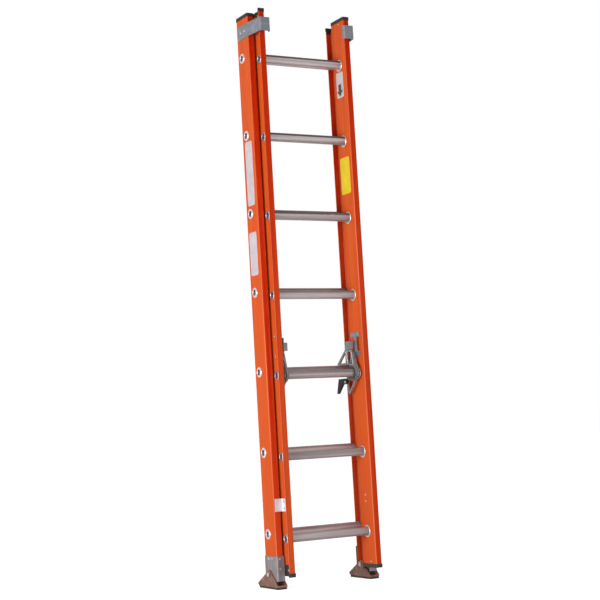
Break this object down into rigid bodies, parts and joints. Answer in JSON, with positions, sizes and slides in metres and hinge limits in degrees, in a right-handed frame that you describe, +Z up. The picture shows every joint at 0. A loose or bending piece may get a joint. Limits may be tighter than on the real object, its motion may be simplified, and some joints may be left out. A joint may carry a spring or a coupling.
{
  "type": "extension ladder",
  "caption": "Two-section extension ladder, run down, with fibreglass channel rails, D-section rungs, sprung rung locks and swivel shoes with toothed spurs.",
  "frame": {"origin": "middle of the footprint, at the soles of the shoes", "axes": "+X across the ladder to the climber's right, -Y towards the climber, +Z up the rails"},
  "size_m": [0.4556, 0.243, 2.2],
  "materials": {
    "rail": "pultruded fibreglass, semi-gloss orange",
    "rung": "extruded, ribbed, worn",
    "ring": "swaged",
    "rivet": "dull",
    "cap": "moulded black",
    "boot": "pressed sheet",
    "bracket": "pressed sheet",
    "shoe": "plated steel, dulled",
    "pad": "grooved",
    "bolt": "zinc plated",
    "lock": "cast",
    "bush": "nylon",
    "spring": "spring wire",
    "flipper": "moulded black"
  },
  "bodies": {
    "base": {"base_boot_left": "boot", "base_boot_right": "boot", "base_cap_left": "cap", "base_cap_right": "cap", "base_guide_left": "bracket", "base_guide_right": "bracket", "base_guide_rivets": "rivet", "base_rail_left": "rail", "base_rail_right": "rail", "base_rung_1": "rung", "base_rung_2": "rung", "base_rung_3": "rung", "base_rung_4": "rung", "base_rung_5": "rung", "base_rung_6": "rung", "base_rung_7": "rung", "base_rung_rings": "ring", "boot_rivets": "rivet", "shoe_bolt_left": "bolt", "shoe_bolt_right": "bolt", "shoe_nut_left": "bolt", "shoe_nut_right": "bolt"},
    "fly": {"cap_rivets": "rivet", "flipper_pins": "rivet", "fly_foot_cap_left": "cap", "fly_foot_cap_right": "cap", "fly_guide_left": "bracket", "fly_guide_right": "bracket", "fly_guide_rivets": "rivet", "fly_rail_left": "rail", "fly_rail_right": "rail", "fly_rung_1": "rung", "fly_rung_2": "rung", "fly_rung_3": "rung", "fly_rung_4": "rung", "fly_rung_5": "rung", "fly_rung_6": "rung", "fly_rung_7": "rung", "fly_rung_rings": "ring", "fly_top_cap_left": "cap", "fly_top_cap_right": "cap", "lock_bush_left": "bush", "lock_bush_right": "bush", "lock_frame_left": "lock", "lock_frame_right": "lock", "lock_rivets": "rivet", "lock_spring_left": "spring", "lock_spring_right": "spring", "lock_strap_left": "bracket", "lock_strap_right": "bracket"},
    "shoe_left": {"shoe_left": "shoe", "shoe_pad_left": "pad"},
    "shoe_right": {"shoe_pad_right": "pad", "shoe_right": "shoe"},
    "lock_left": {"lock_hook_left": "lock"},
    "lock_right": {"lock_hook_right": "lock"},
    "flipper_left": {"lock_flipper_left": "flipper"},
    "flipper_right": {"lock_flipper_right": "flipper"}
  },
  "joints": [
    {"name": "fly_slide", "type": "slide", "parent": "base", "child": "fly", "axis": [0, 0, 1], "range_m": [0, 1.2192]},
    {"name": "shoe_left_pivot", "type": "hinge", "parent": "base", "child": "shoe_left", "pos_m": [-0.20125, 0.0255, 0.054], "axis": [1, 0, 0], "range_deg": [-8, 85]},
    {"name": "lock_left_pivot", "type": "hinge", "parent": "fly", "child": "lock_left", "pos_m": [-0.1504, -0.0495, 0.7946], "axis": [1, 0, 0], "range_deg": [0, 50], "stiffness_Nm_per_rad": 0.3, "springref_deg": -28.65},
    {"name": "flipper_left_pivot", "type": "hinge", "parent": "fly", "child": "flipper_left", "pos_m": [-0.1474, -0.0035, 0.7626], "axis": [1, 0, 0], "range_deg": [-110, 0], "stiffness_Nm_per_rad": 0.03, "springref_deg": 68.75},
    {"name": "shoe_right_pivot", "type": "hinge", "parent": "base", "child": "shoe_right", "pos_m": [0.20125, 0.0255, 0.054], "axis": [1, 0, 0], "range_deg": [-8, 85]},
    {"name": "lock_right_pivot", "type": "hinge", "parent": "fly", "child": "lock_right", "pos_m": [0.1504, -0.0495, 0.7946], "axis": [1, 0, 0], "range_deg": [0, 50], "stiffness_Nm_per_rad": 0.3, "springref_deg": -28.65},
    {"name": "flipper_right_pivot", "type": "hinge", "parent": "fly", "child": "flipper_right", "pos_m": [0.1474, -0.0035, 0.7626], "axis": [1, 0, 0], "range_deg": [-110, 0], "stiffness_Nm_per_rad": 0.03, "springref_deg": 68.75}
  ]
}
